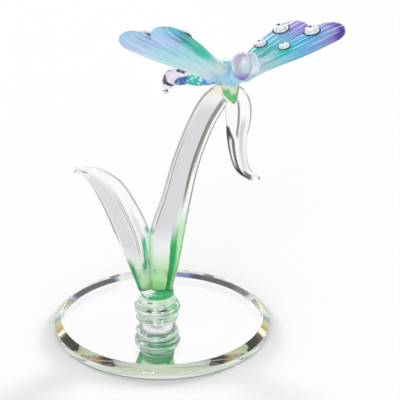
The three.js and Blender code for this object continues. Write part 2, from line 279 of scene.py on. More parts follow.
def unit(vectors):
    """Each vector divided by its length."""
    return vectors / np.linalg.norm(vectors, axis=-1, keepdims=True)


def smoothstep(value, low, high):
    """0 below low, 1 above high, and an S-shaped cubic between."""
    t = np.clip((value - low) / (high - low), 0, 1)
    return t * t * (3 - 2 * t)


def squared(value, power):
    """A sine or cosine raised to 2 / power with its sign kept, which squares off an ellipse."""
    return np.sign(value) * np.abs(value) ** (2 / power)


def through_rows(rows, shares):
    """A smooth curve of cubic stretches through the rows of a table, read at shares from 0 to 1.

    Its slope at a row is half the step between that row's neighbours. The end rows are mirrored outwards.
    """
    rows = np.vstack([2 * rows[:1] - rows[1:2], rows, 2 * rows[-1:] - rows[-2:-1]])
    t = np.asarray(shares) * (len(rows) - 3)
    i = np.minimum(t.astype(int), len(rows) - 4)
    w = (t - i)[:, None]
    a, b, c, d = rows[i], rows[i + 1], rows[i + 2], rows[i + 3]
    return 0.5 * (2 * b + (c - a) * w + (2 * a - 5 * b + 4 * c - d) * w**2 + (3 * b - a - 3 * c + d) * w**3)


def crowded(count):
    """Shares from 0 to 1 that crowd towards both ends, as half a cosine wave does."""
    return 0.5 - 0.5 * np.cos(np.pi * np.arange(count) / (count - 1))


def rounding(shares, start, end):
    """Quarter ellipses that take a width to a fine tip over the first and last shares of a path."""
    near_start = np.clip(1 - shares / start, 0, 1) if start else 0 * shares
    near_end = np.clip(1 - (1 - shares) / end, 0, 1) if end else 0 * shares
    return np.sqrt(np.maximum(SWEEP_TIP, 1 - np.maximum(near_start, near_end) ** 2))


def round_angles(sides):
    """Equal angles once round."""
    return 2 * np.pi * np.arange(sides) / sides


def sweep(stations, face, squareness=2.0, fold=0.0, ends=(0.0, 0.0), rows=SWEEP_ROWS):
    """A squared ellipse carried along a smooth spine, its flat side facing along face.

    The section's chord is face crossed with the spine's direction. Fold bends the section into a
    shallow V. Ends are the shares of the spine over which the section is rounded off to a point.
    Returns the grid of points and each point's place along, across and through the piece.
    """
    shares = crowded(rows)
    table = through_rows(stations, shares)
    spine = table[:, :3]
    width, thick = (table[:, 3:].T * rounding(shares, *ends))[:, :, None]
    tangent = unit(np.gradient(spine, axis=0))
    chord = unit(np.cross(face, tangent))
    normal = np.cross(tangent, chord)
    angle = round_angles(SWEEP_SIDES)
    across = squared(np.cos(angle), squareness)[None, :]
    depth = squared(np.sin(angle), squareness)[None, :]
    crease = np.sqrt(across**2 + CREASE_SOFTNESS**2) - CREASE_SOFTNESS
    lift = depth * thick - fold * crease * np.minimum(1, width / thick / 2)
    points = spine[:, None] + chord[:, None] * (across * width)[..., None] + normal[:, None] * lift[..., None]
    return points, fields_of(shares[:, None], across, depth)


def fields_of(along, across, depth):
    """The three named fields spread over the whole grid."""
    along, across, depth = np.broadcast_arrays(along, across, depth)
    return {"along": along, "across": across, "through": depth}


def turned(profile, ripple=None):
    """A profile of radius and height turned about the upright axis. Ripple moves the radius."""
    angle = round_angles(ROUND_SIDES)[None, :]
    radius = profile[:, :1] + (ripple(angle, profile[:, 1:]) if ripple else 0 * angle)
    height = np.broadcast_to(profile[:, 1:], radius.shape)
    points = np.stack([radius * np.cos(angle), radius * np.sin(angle), height], -1)
    shares = np.linspace(0, 1, len(profile))[:, None]
    return points, fields_of(shares, np.cos(angle), np.sin(angle))


def orb(size):
    """An ellipsoid with its poles on Z: polar angle up the rows, azimuth round them."""
    polar = np.pi * (np.arange(ORB_ROWS)[:, None] + 0.5) / ORB_ROWS
    angle = round_angles(ORB_SIDES)[None, :]
    ball = np.stack(np.broadcast_arrays(
        np.sin(polar) * np.cos(angle), np.sin(polar) * np.sin(angle), -np.cos(polar)), -1)
    return ball * size, fields_of(0.5 - 0.5 * np.cos(polar), np.cos(angle), np.sin(angle))


def placed(points, rotation, origin):
    """The grid turned by a rotation matrix and moved to an origin."""
    return points @ rotation.T + origin


def mesh_of(name, points, fields):
    """A closed mesh from a grid whose columns wrap round: quads, and a fan at each end."""
    rows, sides, _ = points.shape
    index = np.arange(rows * sides).reshape(rows, sides)
    after = np.roll(index, -1, axis=1)
    quads = np.stack([index[:-1], after[:-1], after[1:], index[1:]], -1).reshape(-1, 4)
    first, last = rows * sides, rows * sides + 1
    start = np.stack([np.full(sides, first), after[0], index[0]], -1)
    end = np.stack([np.full(sides, last), index[-1], after[-1]], -1)
    corners = np.vstack([points.reshape(-1, 3), points[0].mean(0), points[-1].mean(0)])
    mesh = bpy.data.meshes.new(name)
    mesh.from_pydata(corners.tolist(), [], quads.tolist() + start.tolist() + end.tolist())
    for field, values in fields.items():
        ends = [values[0].mean(), values[-1].mean()]
        attribute = mesh.attributes.new(field, "FLOAT", "POINT")
        attribute.data.foreach_set("value", np.append(values.ravel(), ends).astype(np.float32))
    mesh.polygons.foreach_set("use_smooth", np.ones(len(mesh.polygons), bool))
    mesh.update()
    return mesh


def piece(name, mesh, materials, slot, *nodes):
    """Puts a finished mesh in the scene for the CAD nodes that it stands for."""
    thing = bpy.data.objects.new(name, mesh)
    bpy.context.scene.collection.objects.link(thing)
    for material in materials:
        mesh.materials.append(material)
    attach(thing, "root")
    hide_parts(*nodes)


def formed(name, points, fields, materials, slot, *nodes):
    """Makes a piece of a grid of points with its fields, and gives its mesh."""
    mesh = mesh_of(name, points, fields)
    piece(name, mesh, materials, slot, *nodes)
    return mesh


def mark_second(mesh, faces):
    """Gives a piece's second material to some of its faces."""
    looks = np.zeros(len(mesh.polygons), np.int32)
    looks[faces] = 1
    mesh.polygons.foreach_set("material_index", looks)


class Nodes:
    """Short calls that add shader nodes to a tree."""

    def __init__(self, tree):
        self.tree = tree

    def join(self, socket, value):
        """Sets a socket to a constant, or links it to another node's output."""
        if isinstance(value, bpy.types.NodeSocket):
            self.tree.links.new(value, socket)
        else:
            socket.default_value = value

    def add(self, kind, inputs=(), output=0, **settings):
        """Adds a node of a kind, sets its properties and numbered or named inputs, gives an output."""
        node = self.tree.nodes.new(kind)
        for key, value in settings.items():
            setattr(node, key, value)
        for key, value in dict(inputs).items():
            self.join(node.inputs[key], value)
        return node.outputs[output]

    def field(self, name):
        """A number stored at the points of the mesh."""
        return self.add("ShaderNodeAttribute", output="Fac", attribute_name=name)

    def place(self):
        """The point's place in the shared frame, in metres."""
        return self.add("ShaderNodeTexCoord", output="Object")

    def height(self):
        """Height above the floor, in metres."""
        return self.add("ShaderNodeSeparateXYZ", {0: self.place()}, output="Z")

    def math(self, operation, a, b=0.0, c=0.0):
        """An operation on up to three numbers."""
        return self.add("ShaderNodeMath", {0: a, 1: b, 2: c}, operation=operation)

    def times(self, first, *others):
        """The product of two or more numbers."""
        for other in others:
            first = self.math("MULTIPLY", first, other)
        return first

    def scaled(self, value, factor, added):
        """A number times a factor, plus another."""
        return self.math("MULTIPLY_ADD", value, factor, added)

    def span(self, value, low, high, start=0.0, end=1.0):
        """Maps low..high to start..end with a smooth step, held at both ends."""
        return self.add(
            "ShaderNodeMapRange",
            {"Value": value, "From Min": low, "From Max": high, "To Min": start, "To Max": end},
            interpolation_type="SMOOTHSTEP",
        )

    def band(self, value, middle, half, soft):
        """1 inside middle plus or minus half, falling to 0 over soft."""
        away = self.math("ABSOLUTE", self.math("SUBTRACT", value, middle))
        return self.span(away, half, half + soft, 1.0, 0.0)

    def vector(self, x, y, z):
        """A vector of three numbers."""
        return self.add("ShaderNodeCombineXYZ", {0: x, 1: y, 2: z})

    def noise(self, vector, scale, detail):
        """A soft noise from 0 to 1, read at a vector."""
        inputs = {"Vector": vector, "Scale": scale, "Detail": detail}
        return self.add("ShaderNodeTexNoise", inputs, output="Fac")

    def cloud(self, scale, detail=2.0):
        """A soft noise from 0 to 1, read at the point's place."""
        return self.noise(self.place(), scale, detail)

    def mix(self, share, a, b, blend="MIX"):
        """Colour a, with colour b over it by a share."""
        inputs = {0: share, 6: a, 7: b}
        return self.add("ShaderNodeMix", inputs, output=2, data_type="RGBA", blend_type=blend)

    def tint(self, colour, share, code, strength=1.0):
        """A colour with a #rrggbb code over it, by a share times a strength."""
        amount = share if strength == 1.0 else self.times(share, strength)
        return self.mix(amount, colour, linear(code))

    def ramp(self, value, stops):
        """Colour stops of share and #rrggbb code."""
        node = self.tree.nodes.new("ShaderNodeValToRGB")
        self.join(node.inputs[0], value)
        while len(node.color_ramp.elements) < len(stops):
            node.color_ramp.elements.new(0.5)
        for element, (share, code) in zip(node.color_ramp.elements, stops):
            element.position = share
            element.color = linear(code)
        return node.outputs[0]


class Finish(Nodes):
    """A procedural material: nodes in front of one Principled shader."""

    def __init__(self, name, **sockets):
        self.material = bpy.data.materials.new(name)
        self.material.use_nodes = True
        super().__init__(self.material.node_tree)
        self.shader = self.tree.nodes["Principled BSDF"]
        for socket, value in sockets.items():
            self.put(socket.replace("_", " ").title().replace("Ior", "IOR"), value)

    def put(self, socket, value):
        """Sets a socket of the shader to a constant, or links it to another node's output."""
        self.join(self.shader.inputs[socket], value)

    def done(self, colour):
        """Puts the finished colour on the shader and gives the material."""
        self.put("Base Color", colour)
        return self.material


def glass(name, **sockets):
    """Clear glossy glass with room for a colour pattern."""
    settings = {"transmission_weight": 1.0, "roughness": 0.0, "ior": 1.5}
    return Finish(name, **{**settings, **sockets})


def clouded(finish, scale, first, second, detail=2.0):
    """Finishes a material in two close tones that drift with a noise."""
    return finish.done(finish.ramp(finish.cloud(scale, detail), [(0.3, first), (0.7, second)]))


def silver_finish():
    """Bright silvering under the mirror, with a very faint cloud in it."""
    return clouded(Finish("mirror_silver", metallic=1.0, roughness=0.0), 40.0, "#FCFBFD", "#FEFDFE")


def backing_finish():
    """Grey protective paint with a faint mottle."""
    return clouded(Finish("backing_paint", roughness=0.55), 900.0, "#45484B", "#54575A", 3.0)


# Tones of the bevel from front to back: its own sage tint, then painted reflections and colour fringes (near
# black, gold, blue, yellow green, dark, white), then sage again
BEVEL_TINT_AND_REFLECTIONS = (
    (0.02, "#CEE0BE"), (0.09, "#C8D4B2"), (0.14, "#B2BE96"), (0.19, "#A6B286"),
    (0.2, "#020201"), (0.29, "#040301"), (0.33, "#3A2402"), (0.385, "#B08A1E"),
    (0.44, "#E0D68C"), (0.49, "#3F6E9C"), (0.54, "#A6D8D0"), (0.6, "#B0B44A"),
    (0.665, "#8E9658"), (0.725, "#22382E"), (0.775, "#EEF2EE"), (0.825, "#F4F6F4"),
    (0.875, "#CCE2B8"),
)


def plate_finish():
    """Float glass: clear on the face, banded in the bevel, pale in the wall.

    The bevel has its own sage tint at the front and back. At its two sides the place from front to back,
    moved a little by a noise, runs through painted reflections and colour fringes: dark olive, gold, blue and
    yellow green.
    """
    finish = glass("mirror_plate_glass")
    place = finish.place()
    flat = finish.add("ShaderNodeVectorMath", {0: place, 1: (1.0, 1.0, 0.0)}, operation="MULTIPLY")
    reach = finish.add("ShaderNodeVectorMath", {0: flat}, output="Value", operation="LENGTH")
    edge = MIRROR_RADIUS - BEVEL_WIDTH
    rim = finish.span(reach, edge - ARRIS, edge + ARRIS)
    bevel = finish.span(finish.height(), WALL_TOP - ARRIS, WALL_TOP + ARRIS)
    swirl = finish.scaled(finish.noise(place, 300.0, 1.0), 0.16, -0.08)
    backward = finish.math("ADD", finish.field("through"), swirl)
    # Painted reflections: these bands stand in for what the bevel mirrors and splits into colours at its
    # sides
    reflected_bands = finish.ramp(finish.scaled(backward, 0.5, 0.5), BEVEL_TINT_AND_REFLECTIONS)
    return finish.done(finish.mix(rim, linear("#FEFEFF"), finish.mix(bevel, linear("#E4F0E2"), reflected_bands)))


def wound_line(finish, low, high):
    """A line along the crest of the wound glass: the cosine of its helix between two sharpness limits."""
    rise = finish.times(finish.height(), 2 * np.pi / WOUND_PITCH)
    ahead = finish.times(finish.math("COSINE", rise), finish.field("across"))
    helix = finish.scaled(finish.math("SINE", rise), finish.field("through"), ahead)
    return finish.span(helix, low, high)


def rings_finish():
    """Clear glass with pale green drawn into it in wisps, stronger up and to the right, and wound lines."""
    finish = glass("foot_ring_glass")
    wisp = finish.cloud(220.0)
    side = finish.scaled(finish.field("across"), 0.24, wisp)
    green = finish.ramp(side, [(0.46, "#F8FCF7"), (0.58, "#B8F0B2"), (0.72, "#4CCC7C")])
    rise = finish.span(finish.height(), *RING_GREEN, 0.25, 1.0)
    colour = finish.mix(rise, linear("#FAFCFA"), green)
    line = finish.times(wound_line(finish, 0.86, 0.98), finish.span(wisp, 0.4, 0.55, 0.2, 0.8))
    colour = finish.tint(colour, line, "#3E4A30")
    return finish.done(painted_edge_shade(finish, colour, "#1B2618", 0.45, 0.85))


def collar_finish():
    """Clear glass with a deep green band round its top that fades out at the left."""
    finish = glass("collar_green_glass")
    wisp = finish.cloud(260.0)
    side = finish.scaled(finish.field("across"), 0.22, wisp)
    colour = finish.ramp(side, [(0.36, "#F8FBF7"), (0.5, "#E0F4DC"), (0.66, "#A8DFB0")])
    band = finish.times(finish.band(finish.height(), *COLLAR_BAND), finish.span(side, 0.3, 0.42))
    colour = finish.tint(colour, band, "#14A455")
    finish.put("Transmission Weight", finish.span(band, 0.0, 1.0, 1.0, ROOT_CLEARNESS))
    return finish.done(painted_edge_shade(finish, colour, "#1B2618", 0.5, 0.9))


def seam_finish():
    """The seam inside fused glass, which light crosses without bending."""
    return clouded(glass("fused_seam_glass", ior=1.0), 300.0, "#FFFFFF", "#FAFDFA")


def glue_finish():
    """Clear, faintly cloudy glue."""
    return clouded(glass("glue_clear", ior=1.47), 500.0, "#FBFBF9", "#F2F4EF")


# Strokes in the blades. The grey cores and the grey and dark lines are painted reflections of the
# surroundings in clear glass; the blade's last stroke is its own cream tint. Each has middle, half width and
# soft edge across, then the heights in millimetres where it starts, is full, begins to fade and ends, then
# its colour and strength
BLADE_TINT_AND_REFLECTION_STROKES = (
    (0.15, 0.5, 0.05, 30, 42, 84, 91, "#DADBDD", 1.0),
    (0.93, 0.05, 0.03, 30, 40, 86, 93, "#D9DBDC", 1.0),
    (0.75, 0.02, 0.03, 36, 44, 70, 86, "#3C4146", 0.95),
    (-0.48, 0.05, 0.08, 42, 58, 87, 91, "#5F6B60", 0.95),
    (-0.62, 0.015, 0.03, 58, 68, 87, 91, "#2F3530", 0.9),
    (-0.9, 0.03, 0.03, 18, 30, 88, 93, "#1A1D20", 0.95),
    (0.0, 1.0, 0.1, 89, 91.5, 96, 97, "#F3EBD2", 0.9),
)
SIDE_LEAF_REFLECTION_STROKES = (
    (0.4, 0.36, 0.06, 26, 34, 59, 63, "#DCDDE1", 1.0),
    (-0.1, 0.025, 0.03, 24, 33, 50, 62, "#5F6468", 0.8),
    (-0.42, 0.05, 0.08, 24, 30, 42, 50, "#C4C8CA", 0.7),
    (0.92, 0.03, 0.03, 32, 38, 61, 63, "#26292D", 0.9),
    (-0.95, 0.03, 0.04, 36, 42, 60, 64, "#A4A9AB", 0.8),
)
HANGING_LEAF_REFLECTION_STROKES = (
    (0.35, 0.14, 0.1, 62, 66, 80, 84, "#D6D4D8", 1.0),
    (0.02, 0.03, 0.04, 75, 77, 88, 90, "#5C6064", 0.9),
    (0.92, 0.035, 0.03, 76, 78, 90, 93, "#2E3236", 0.9),
    (0.95, 0.03, 0.04, 60, 62, 76, 78, "#B4B7BA", 0.8),
    (-0.95, 0.03, 0.03, 74, 76, 88, 90, "#B7B9BB", 0.8),
)


def stroked(finish, strokes):
    """A clear tone with lengthwise strokes, each a band across the blade between two faded heights; grey and
    dark ones are painted reflections.
    """
    colour = linear(CLEAR_TONE)
    across, height = finish.field("across"), finish.height()
    for middle, half, soft, low, low_full, high_full, high, code, strength in strokes:
        lane = finish.band(across, middle, half, soft)
        rise = finish.span(height, low * MM, low_full * MM)
        fall = finish.span(height, high * MM, high_full * MM)
        colour = finish.tint(colour, finish.times(lane, rise, fall), code, strength)
    return colour


def blade_finish():
    """Clear blade: a grey core and fine dark lines beside it, both painted reflections, and green drawn up
    from the root.

    A deep green streak leans across the right half, with pale green from it to the right edge.
    """
    finish = glass("main_blade_glass")
    height = finish.height()
    colour = stroked(finish, BLADE_TINT_AND_REFLECTION_STROKES)
    across = finish.field("across")
    wander = finish.scaled(finish.cloud(90.0), 0.3, -0.15)
    drift = finish.math("ADD", across, wander)
    root = finish.span(finish.scaled(wander, 0.02, height), *BLADE_ROOT)
    colour = finish.tint(colour, root, "#B6F2A6")
    web = finish.times(finish.span(across, 0.62, 0.8), finish.span(height, *BLADE_WEB))
    colour = finish.tint(colour, web, "#B2E4B4", 0.7)
    slant = finish.scaled(height, BLADE_STREAK_LEAN, drift)
    edge = finish.times(finish.span(slant, -0.6, -0.75), finish.span(height, *BLADE_EDGE))
    colour = finish.tint(colour, edge, "#B4E6AE", 0.9)
    streak = finish.times(finish.band(slant, -0.66, 0.13, 0.07), finish.span(height, *BLADE_STREAK))
    colour = finish.tint(colour, streak, "#04AC50")
    colour = notched(finish, colour, finish.span(across, 0.7, 0.84))
    finish.put("Transmission Weight", finish.span(height, *CLEAR_RISE, ROOT_CLEARNESS, 1.0))
    return finish.done(painted_edge_shade(finish, colour))


def painted_edge_shade(finish, colour, code="#3C4145", start=0.8, full=1.0):
    """Painted edge shade: clear glass darkens where it turns edge-on, from start to full."""
    facing = finish.add("ShaderNodeLayerWeight", {"Blend": 0.5}, output="Facing")
    return finish.tint(colour, finish.span(facing, start, full), code, EDGE_SHADE_STRENGTH)


def notched(finish, colour, beside):
    """A small green notch at the top of the seam between the blade and the side leaf."""
    notch = finish.times(beside, finish.band(finish.height(), *NOTCH))
    return finish.tint(colour, notch, "#1E9C58", 0.9)


def side_leaf_finish():
    """Clear folded leaf: one faintly grey half and a fine fold line, both painted reflections, and green at
    the root and along the seam.
    """
    finish = glass("side_leaf_glass")
    across, height = finish.field("across"), finish.height()
    colour = stroked(finish, SIDE_LEAF_REFLECTION_STROKES)
    root = finish.span(height, *LEAF_ROOT)
    colour = finish.tint(colour, root, "#B4F2AC")
    edge = finish.times(finish.span(height, *LEAF_EDGE), finish.span(across, 0.3, 0.65))
    colour = finish.tint(colour, edge, "#0CA856")
    seam = finish.times(finish.span(across, -0.6, -0.8), finish.span(height, *LEAF_SEAM))
    colour = finish.tint(colour, seam, "#A6E0B0", 0.75)
    thread = finish.times(finish.band(height, *LEAF_THREAD), finish.band(across, -0.5, 0.05, 0.06))
    knot = finish.times(finish.band(height, *LEAF_KNOT), finish.band(across, -0.4, 0.12, 0.1))
    colour = finish.tint(colour, finish.math("MAXIMUM", thread, knot), "#1CA25E")
    colour = notched(finish, colour, finish.span(across, -0.7, -0.84))
    finish.put("Transmission Weight", finish.span(height, *CLEAR_RISE, ROOT_CLEARNESS, 1.0))
    return finish.done(painted_edge_shade(finish, colour))


def hanging_leaf_finish():
    """Clear leaf with two black strips of painted reflection in its left half, which run together towards the
    tip.
    """
    finish = glass("hanging_leaf_glass")
    across, along = finish.field("across"), finish.field("along")
    colour = stroked(finish, HANGING_LEAF_REFLECTION_STROKES)
    window = finish.times(finish.span(along, 0.34, 0.36), finish.span(along, 0.92, 0.86))
    limit = finish.span(along, 0.34, 0.48, -0.72, -0.22)
    inside = finish.span(finish.math("SUBTRACT", across, limit), 0.05, -0.02)
    patch = finish.times(finish.span(across, -0.97, -0.92), inside)
    between = finish.times(finish.span(along, 0.42, 0.48), finish.span(along, 0.74, 0.62))
    between = finish.times(between, finish.band(across, -0.55, 0.12, 0.1))
    # Painted reflection: a near-black patch in the left half, with a clear lane between its two strips
    dark = finish.times(window, patch, finish.math("SUBTRACT", 1.0, between))
    colour = finish.tint(colour, dark, "#060607", 0.98)
    return finish.done(painted_edge_shade(finish, colour))


def saddle_finish():
    """Green bud glass: pale cream above, then a green V that is deepest down its left and at its tip."""
    finish = glass("saddle_green_glass", transmission_weight=0.25, roughness=0.04)
    across, along = finish.field("across"), finish.field("along")
    wisp = finish.scaled(finish.cloud(350.0), 0.4, -0.2)
    left = finish.span(finish.math("ADD", across, wisp), 0.1, -0.25)
    tip = finish.span(along, 0.3, 0.48)
    right = finish.span(across, 0.65, 0.85)
    green = finish.math("MAXIMUM", finish.math("MAXIMUM", left, tip), right)
    green = finish.times(green, finish.span(along, 0.08, 0.2))
    return finish.done(finish.mix(green, linear("#E2EDD4"), linear("#62C878")))


# Blue of the body, which the wings take up at their roots
BODY_BLUE = "#A8DCF4"


def thorax_finish():
    """Milky sky-blue glass with a few bright blue flecks."""
    finish = glass("thorax_milk_glass", transmission_weight=0.25, roughness=0.06)
    cloud = finish.cloud(180.0)
    colour = finish.ramp(cloud, [(0.3, BODY_BLUE), (0.55, "#B8E2F5"), (0.75, "#D6E8F2")])
    fleck = finish.span(finish.cloud(900.0, 1.0), 0.62, 0.68)
    return finish.done(finish.tint(colour, fleck, "#3D93D8", 0.6))


# Tones of the head from bottom to top
HEAD_TONES = (
    (0.0, "#7452CA"), (0.1, "#9276DE"), (0.2, "#C0BEF4"), (0.3, "#E2EEFE"),
    (0.6, "#F2FAFF"), (0.86, "#F6F6FE"), (1.0, "#EADCF8"),
)


def head_finish():
    """Pale clear bead that turns pink at its upper left and purple below, with painted edge shade as a darker
    outline.
    """
    finish = glass("head_lavender_glass", transmission_weight=0.7, roughness=0.02)
    across, along = finish.field("across"), finish.field("along")
    wisp = finish.scaled(finish.cloud(260.0), 0.16, -0.08)
    colour = finish.ramp(finish.math("ADD", along, wisp), HEAD_TONES)
    pink = finish.times(finish.span(across, -0.3, -0.8), finish.span(along, 0.55, 0.7))
    colour = finish.tint(colour, pink, "#F4C8F4", 0.6)
    return finish.done(painted_edge_shade(finish, colour, "#10145C", 0.7, 0.92))


def bead_finish(name, deep, light):
    """Transparent coloured bead with pale swirls and fine painted white glints."""
    finish = glass(name, transmission_weight=0.15, roughness=0.02)
    swirl = finish.cloud(420.0)
    colour = finish.ramp(swirl, [(0.3, deep), (0.53, deep), (0.68, light)])
    # Painted highlight: small white spots picked out of a fine noise
    painted_glint = finish.span(finish.cloud(800.0, 1.0), 0.63, 0.67)
    return finish.done(finish.tint(colour, painted_glint, "#F4FAFD"))


# Painted dark reflections in the tail, in thin strips: middle and half along it, then middle and half across
TAIL_DARK_REFLECTIONS = (
    (0.14, 0.05, 0.84, 0.16),
    (0.27, 0.04, 0.84, 0.16),
    (0.5, 0.05, 0.84, 0.18),
    (0.74, 0.07, 0.86, 0.14),
    (0.72, 0.04, -0.8, 0.2),
)


def tail_finish():
    """Clear glass with a lavender tint and thin strips of painted dark reflection."""
    finish = glass("tail_clear_glass")
    across, along = finish.field("across"), finish.field("along")
    swirl = finish.cloud(300.0)
    colour = finish.ramp(swirl, [(0.35, "#F3EEF9"), (0.6, "#DDD2EE")])
    for middle, half, lane, breadth in TAIL_DARK_REFLECTIONS:
        stretch, strip = finish.band(along, middle, half, 0.04), finish.band(across, lane, breadth, 0.05)
        # Painted reflection: a near-black strip
        colour = finish.tint(colour, finish.times(stretch, strip), "#180C22")
    return finish.done(painted_edge_shade(finish, colour, "#2C1C40", 0.72))


# Wing colours by share of the length: down the middle of each lobe, then along its outer edge
WING_TONES = {
    "right_fore": (
        (
            (0.08, "#DCE8EE"), (0.26, "#DCF4F6"), (0.34, "#90E6E2"), (0.39, "#00D8CA"),
            (0.48, "#00CCD4"), (0.57, "#3CCCF2"), (0.67, "#68BEF2"), (0.78, "#8EB6F0"),
            (0.86, "#9C94DC"), (0.93, "#6244B4"), (1.0, "#452A96"),
        ),
        (
            (0.1, "#DCF0F4"), (0.34, "#A8E6EE"), (0.52, "#74C8F0"), (0.68, "#94BAF0"),
            (0.79, "#A098E0"), (0.87, "#5F44B0"), (1.0, "#3F2892"),
        ),
    ),
    "right_hind": (
        (
            (0.08, "#D4E8EC"), (0.28, "#D0F2F2"), (0.36, "#5CDCD0"), (0.42, "#10CCBC"),
            (0.51, "#4CD8E6"), (0.62, "#74D4F4"), (0.74, "#92B8F0"), (0.85, "#AA98E0"),
            (1.0, "#987AD0"),
        ),
        (
            (0.1, "#C8F0EE"), (0.4, "#9CE8F0"), (0.6, "#A6D8F2"), (0.8, "#BEACE4"),
            (1.0, "#C4AEE2"),
        ),
    ),
    "left_fore": (
        (
            (0.06, "#BEE4F6"), (0.16, "#DEEAF2"), (0.3, "#CAF2F4"), (0.45, "#AAEEF0"),
            (0.58, "#9AE2F4"), (0.7, "#A4D6FA"), (0.84, "#BCCEFA"), (1.0, "#B0DCF6"),
        ),
        (
            (0.22, "#D8F0F0"), (0.34, "#8CE8D2"), (0.42, "#16D4B2"), (0.62, "#00CCAC"),
            (0.76, "#009CA6"), (0.83, "#18B8DC"), (0.9, "#60CCE2"), (1.0, "#8CD8DC"),
        ),
    ),
    "left_hind": (
        (
            (0.06, "#BEE4F6"), (0.16, "#DEEAF2"), (0.28, "#D0F2F4"), (0.45, "#B8F0F4"),
            (0.62, "#AEE6F6"), (0.78, "#BAD6F8"), (0.9, "#B6DAF8"), (1.0, "#ACD6F6"),
        ),
        (
            (0.1, "#DCECF0"), (0.4, "#CCF6F6"), (0.7, "#BEEEF6"), (0.84, "#C0CEF8"),
            (1.0, "#B4BEF4"),
        ),
    ),
}
EDGE_STARTS = {"right_fore": 0.42, "right_hind": 0.42, "left_fore": 0.24, "left_hind": 0.35}

# Streaks: how many lanes, then how strong the pale and the deep ones are
STREAKS = {
    "right": ((8.0, 0.18, 0.45), (24.0, 0.25, 0.45)),
    "left": ((8.0, 0.55, 0.45), (24.0, 0.45, 0.4)),
}

# Shares of the length over which a wing turns to the blue of the body at its root
WING_ROOT_BLUE = (0.16, 0.04)

# Painted highlight lines beside the outer edges: place across, then middle and half of the stretch along
PAINTED_GLEAM_LINES = {"right_fore": (0.66, 0.76, 0.1), "left_fore": (0.62, 0.86, 0.06)}


def wing_finish(wing, streaks):
    """Milky glass drawn out in lengthwise streaks from a pale root, with its own colours on the outer edge.

    The along field picks the tone, shifted by a broad noise that is stretched lengthwise and fades out at
    the tip. Finer noises lay pale and deep streaks over it. The root takes the blue of the body.
    """
    finish = glass(f"{wing}_milk_glass", transmission_weight=0.3, roughness=0.04, specular_ior_level=0.25)
    along, across = finish.field("along"), finish.field("across")
    seed = finish.field("seed")

    def lanes(count):
        return finish.noise(finish.vector(along, finish.times(across, count), seed), 1.7, 1.0)

    shift = finish.scaled(lanes(2.6), 0.36, -0.18)
    shift = finish.times(shift, finish.span(along, 0.98, 0.8))
    edge_start = EDGE_STARTS[wing]
    edge = finish.span(finish.scaled(shift, 0.9, across), edge_start, edge_start + 0.3)
    middle_tones, edge_tones = WING_TONES[wing]
    middle = finish.ramp(finish.math("ADD", along, shift), middle_tones)
    colour = finish.mix(edge, middle, finish.ramp(finish.scaled(shift, 0.4, along), edge_tones))
    inside = finish.times(finish.span(along, 0.1, 0.28), finish.span(along, 1.0, 0.86))
    milky = finish.times(inside, finish.span(edge, 0.0, 1.0, 1.0, 0.4))
    for count, pale, deep in streaks:
        streak = lanes(count)
        light = finish.times(finish.span(streak, 0.53, 0.64), milky)
        colour = finish.tint(colour, light, "#EAF8FC", pale)
        dark = finish.times(finish.span(streak, 0.46, 0.36), inside)
        shade = finish.mix(1.0, colour, linear("#A8C8E6"), "MULTIPLY")
        colour = finish.mix(finish.times(dark, deep), colour, shade)
    # Painted highlight: a pale line beside the outer edge
    if wing in PAINTED_GLEAM_LINES:
        lane, centre, half = PAINTED_GLEAM_LINES[wing]
        line = finish.times(finish.band(across, lane, 0.02, 0.05), finish.band(along, centre, half, 0.06))
        colour = finish.tint(colour, line, "#F2FAFD", 0.75)
    return finish.done(finish.tint(colour, finish.span(along, *WING_ROOT_BLUE), BODY_BLUE))


def crystal_finish(name, light, deep):
    """Bright cut glass, very faintly clouded between two tones."""
    return clouded(glass(name, ior=1.55, transmission_weight=0.15), 700.0, light, deep)


def foil_finish():
    """Bright pale foil under a crystal."""
    return clouded(Finish("crystal_foil", roughness=0.3), 1500.0, "#FBFBFC", "#F0F0F3")


def near_black_finish():
    """Near black, faintly mottled, for the cup round a crystal and for the table slivers painted dark."""
    finish = Finish("crystal_near_black", roughness=0.6, specular_ior_level=0.1)
    return clouded(finish, 1200.0, "#060607", "#121215")


def arc_profile(corners, radius):
    """A profile whose inner corners are eased by short curves of three chord points.

    A ring on each flat close to the curve keeps the flat's own normals exact.
    """
    corners = np.asarray(corners)
    before = unit(corners[:-2] - corners[1:-1]) * radius
    after = unit(corners[2:] - corners[1:-1]) * radius
    middle = corners[1:-1]
    bend = [middle + before, middle + 0.25 * (before + after), middle + after]
    eased = np.stack([middle + 1.5 * before, *bend, middle + 1.5 * after], 1)
    return np.vstack([corners[:1], eased.reshape(-1, 2), corners[-1:]])


def make_mirror():
    """The bevelled plate is a turned outline, with its silver a hair above the underside."""
    ridge = MIRROR_RADIUS - BEVEL_WIDTH
    plate = arc_profile([
        [HUB_RADIUS, BACKING_TOP],
        [MIRROR_RADIUS, BACKING_TOP],
        [MIRROR_RADIUS, WALL_TOP],
        [ridge, MIRROR_TOP],
        [HUB_RADIUS, MIRROR_TOP],
    ], ARRIS)
    formed("mirror_plate", *turned(plate), [plate_finish()], "mirror", "mirror_glass")
    edge, inset = MIRROR_RADIUS - ARRIS, BACKING_TOP + SILVER_INSET
    paint = turned(np.array([[HUB_RADIUS, 0.0], [edge, 0.0], [edge, inset], [HUB_RADIUS, inset]]))
    looks = [backing_finish(), silver_finish()]
    backing = formed("mirror_back", *paint, looks, "mirror_paint", "mirror_backing")
    backing.polygons.foreach_set("use_smooth", np.zeros(len(backing.polygons), bool))
    mark_second(backing, facing_up(backing) > 0.5)


def facing_up(mesh):
    """How far each face looks upwards, from -1 to 1."""
    normals = np.zeros(3 * len(mesh.polygons), np.float32)
    mesh.polygons.foreach_get("normal", normals)
    return normals[2::3]


def wound(phase):
    """A ripple for glass wound on in a helix: a shallow groove that climbs as it goes round."""
    def ripple(angle, height):
        return WOUND_DEPTH * np.cos(2 * np.pi * height / WOUND_PITCH - angle + phase)
    return ripple


